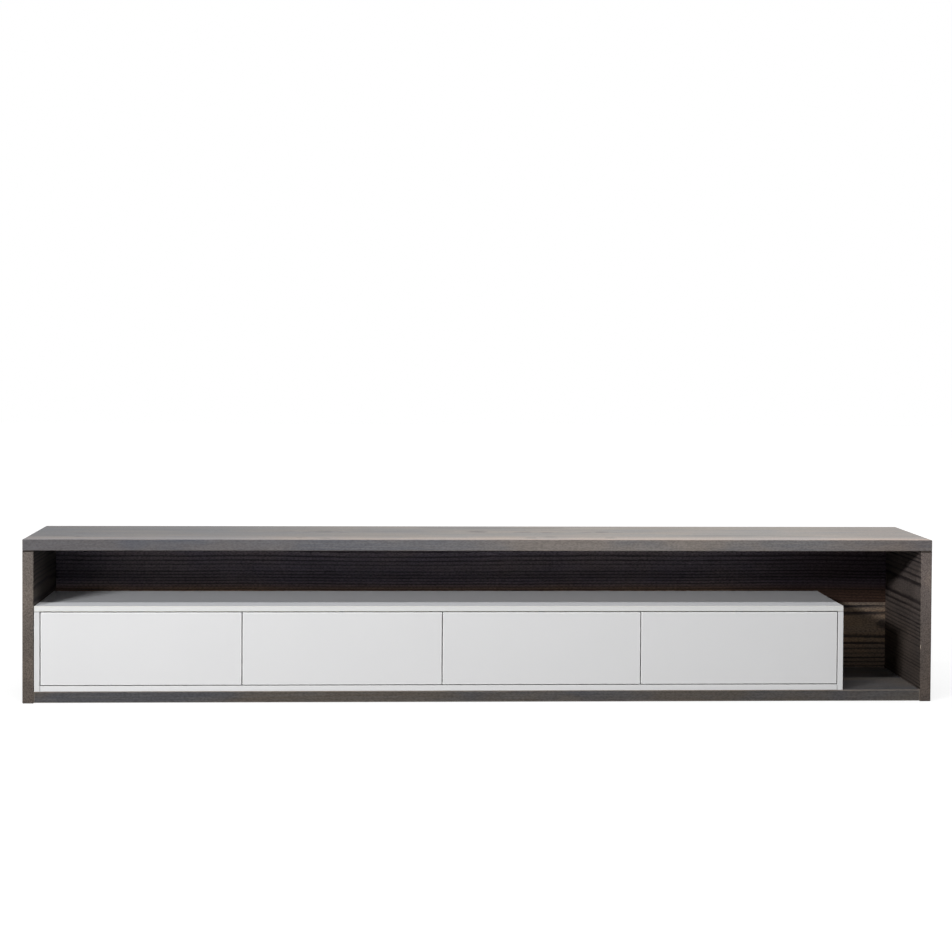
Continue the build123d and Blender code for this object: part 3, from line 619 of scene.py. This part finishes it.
plastic_finish("catch_housing_finish", (0.3, 0.3, 0.31), 0.42, ["push_catch_housings"])
plastic_finish("catch_plunger_finish", (0.78, 0.78, 0.77), 0.35, [f"drawer_{n}_catch_plunger" for n in drawers])
catch_low, catch_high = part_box("push_catch_housings")
flange_under, flange_reach, flange_screw_inset = 0.268, 0.013, 0.010
catch_head_radius, catch_head_height = 0.003, 0.0016
catch_head = screw_head(catch_head_radius, catch_head_height)
catch_spots = []
for n in drawers:
    low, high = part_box(f"drawer_{n}_catch_plunger")
    middle = (low.x + high.x) / 2
    catch_spots += [(middle - flange_reach, catch_low.y + flange_screw_inset, flange_under),
                    (middle + flange_reach, catch_high.y - flange_screw_inset, flange_under)]
set_out(catch_head, "push_catch_screws", catch_spots, (0.0, 0.0, -1.0), "frame", screw_zinc)
bpy.data.objects.remove(catch_head)

# Tenons and felt pads
# Steamed beech tenons are glued into the corner joints, where they are hidden. Pads of pressed wool felt are glued
# under the bottom slab and fill the gap below it.
beech_dark, beech_light, beech_fleck = (0.56, 0.38, 0.23), (0.65, 0.47, 0.3), (0.38, 0.23, 0.13)
material, tree, shader = new_finish("tenon_finish", Specular_IOR_Level=0.3)
place = put(tree, "ShaderNodeTexCoord")["Object"]
fleck = noise(tree, stretch(tree, place, (1.0, 1.0, 0.2)), 320.0, 3.0)
tone = noise(tree, place, 22.0, 2.0)
colour = blend(tree, ramp(tree, tone, 0.35, 0.65), beech_dark, beech_light)
colour = blend(tree, ramp(tree, fleck, 0.55, 0.7, to_high=0.6), colour, beech_fleck)
tree.links.new(colour, shader["Base Color"])
tree.links.new(number(tree, "MULTIPLY_ADD", fleck, 0.15, 0.55), shader["Roughness"])
coat("frame_tenons", material)

felt_dark, felt_grey, felt_wool = (0.05, 0.05, 0.052), (0.1, 0.1, 0.1), (0.2, 0.2, 0.2)
material, tree, shader = new_finish("felt_finish", Specular_IOR_Level=0.1)
place = put(tree, "ShaderNodeTexCoord")["Object"]
wool = noise(tree, place, 1800.0, 4.0)
clumps = noise(tree, place, 260.0, 3.0)
colour = blend(tree, ramp(tree, clumps, 0.35, 0.65), felt_dark, felt_grey)
colour = blend(tree, ramp(tree, wool, 0.5, 0.75, to_high=0.5), colour, felt_wool)
tree.links.new(colour, shader["Base Color"])
tree.links.new(number(tree, "MULTIPLY_ADD", wool, 0.08, 0.9), shader["Roughness"])
bump(tree, shader, wool, 0.6, 0.0004)
coat("felt_pads", material)

# Photo studio
# A pale floor, one high and two low strips of soft light in front, and weak ones behind and beside.
floor_side, paper_grey, white = 40.0, (0.28, 0.28, 0.28, 1.0), (1.0, 1.0, 1.0, 1.0)
paper_near, paper_far, glow_near, glow_far = 0.8, 3.5, 0.82, 1.0
bpy.ops.mesh.primitive_plane_add(size=floor_side, location=(0.0, 0.0, 0.0))
floor = bpy.context.active_object
floor.name = "studio_floor"
material, tree, shader = new_finish("floor_paper", Roughness=0.9, Specular_IOR_Level=0.1)
shader["Base Color"].default_value = paper_grey
camera_ray = put(tree, "ShaderNodeLightPath")["Is Camera Ray"]
shader["Emission Color"].default_value = white
from_stand = stretch(tree, put(tree, "ShaderNodeTexCoord")["Object"], (0.6, 1.0, 1.0))
away = vector_math(tree, "LENGTH", from_stand)["Value"]
paper_white = number(tree, "MULTIPLY", camera_ray, ramp(tree, away, paper_near, paper_far, glow_near, glow_far))
tree.links.new(paper_white, shader["Emission Strength"])
floor.data.materials.append(material)

# White room: full white behind, and in reflections a rear wall that is dimmer towards the front and the left
ambient = 0.02
front_gloss, rear_gloss, left_gloss, right_gloss = 0.05, 1.0, 0.6, 1.15
world = bpy.data.worlds.new("studio")
bpy.context.scene.world = world
world.use_nodes = True
tree = world.node_tree
background = tree.nodes["Background"].inputs
rays = put(tree, "ShaderNodeLightPath")
heading = split(tree, put(tree, "ShaderNodeTexCoord")["Generated"])
rear_wall = number(tree, "MULTIPLY", ramp(tree, heading[y_axis], -0.2, 0.5, front_gloss, rear_gloss),
                   ramp(tree, heading[x_axis], -0.25, 0.35, left_gloss, right_gloss))
reflected = number(tree, "MAXIMUM", rays["Is Glossy Ray"], rays["Is Transmission Ray"])
shown = number(tree, "MAXIMUM", rays["Is Camera Ray"], number(tree, "MULTIPLY", reflected, rear_wall))
tree.links.new(number(tree, "MAXIMUM", shown, ambient), background["Strength"])
background["Color"].default_value = white


def strip_lamp(name, place, target, power, width, height):
    """Long level strip of soft light that faces its target and shows in no reflection."""
    light = bpy.data.lights.new(name, "AREA")
    light.shape = "RECTANGLE"
    light.size, light.size_y = width, height
    light.energy = power
    made = bpy.data.objects.new(name, light)
    made.location = place
    made.rotation_euler = (Vector(target) - Vector(place)).to_track_quat("-Z", "Y").to_euler()
    made.visible_glossy = False
    bpy.context.collection.objects.link(made)


# Seen from the side, the front strips stand 61, 22 and 18 degrees above the top slab's lower front edge
strip_lamp("high_strip", (0.0, -2.60, 4.77), (0.0, -0.225, 0.3), power=131.0, width=3.6, height=0.25)
strip_lamp("left_front_strip", (-3.7, -5.0, 2.38), (0.2, -0.225, 0.28), power=272.0, width=1.7, height=0.25)
strip_lamp("right_front_strip", (0.9, -5.4, 2.1), (0.9, -0.225, 0.3), power=32.0, width=0.5, height=0.25)
strip_lamp("rear_strip", (0.0, 4.5, 2.6), (0.0, 0.2, 0.2), power=60.0, width=2.5, height=1.2)
strip_lamp("left_strip", (-4.5, 0.4, 1.8), (-1.3, 0.1, 0.2), power=25.0, width=1.4, height=1.0)
strip_lamp("right_strip", (4.5, 0.4, 1.8), (1.3, 0.1, 0.2), power=25.0, width=1.4, height=1.0)

bpy.context.scene.view_settings.view_transform = "Standard"

# Camera
# A long lens in front of the stand and a little left of its middle, looking slightly down on it. Its optical centre
# lies above the picture's middle row, which sets the vertical shift.
camera_data = bpy.data.cameras.new("camera")
camera = bpy.data.objects.new("camera", camera_data)
bpy.context.collection.objects.link(camera)
bpy.context.scene.camera = camera
picture_width, focal_pixels, optical_centre_row = 952, 2104.6, 400
yaw, pitch, roll = (math.radians(a) for a in (2.715, 1.636, 0.317))
camera_data.shift_y = (optical_centre_row - picture_width / 2) / picture_width
camera_data.sensor_width = 36.0
camera_data.lens = focal_pixels / picture_width * camera_data.sensor_width
camera.location = (-0.3146, -6.4383, 1.076)
look = Vector((math.sin(yaw) * math.cos(pitch), math.cos(yaw) * math.cos(pitch), -math.sin(pitch)))
camera.rotation_mode = "QUATERNION"
camera.rotation_quaternion = look.to_track_quat("-Z", "Y")
camera.rotation_mode = "XYZ"
camera.rotation_euler.rotate_axis("Z", roll)
